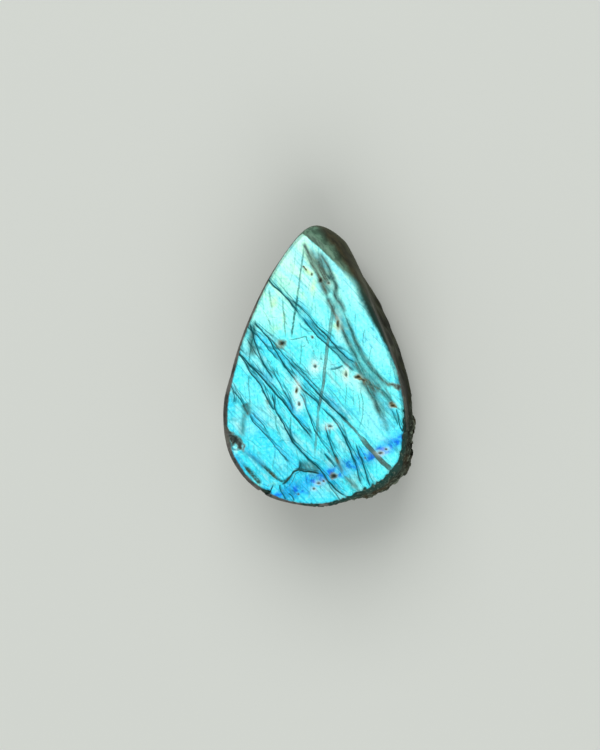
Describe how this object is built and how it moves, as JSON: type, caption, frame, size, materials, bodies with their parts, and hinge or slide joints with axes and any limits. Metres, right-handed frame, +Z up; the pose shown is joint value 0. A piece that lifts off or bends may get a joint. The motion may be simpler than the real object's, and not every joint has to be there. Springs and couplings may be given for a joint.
{
  "type": "labradorite stone with one polished face",
  "caption": "Teardrop labradorite stone with one flat polished face that flashes blue, a ground shoulder, and a rough cleaved back to lie on.",
  "frame": {"origin": "on the surface that the stone lies on, under the middle of its outline", "axes": "+Z up out of the polished face, +Y towards the point of the teardrop, +X to the right as the polished face is seen"},
  "size_m": [0.0312, 0.0462, 0.017],
  "materials": {
    "labradorite": "polished face with blue labradorescence, ground olive shoulder, rough grey-green back"
  },
  "bodies": {
    "root": {"labradorite": "labradorite"}
  },
  "joints": []
}
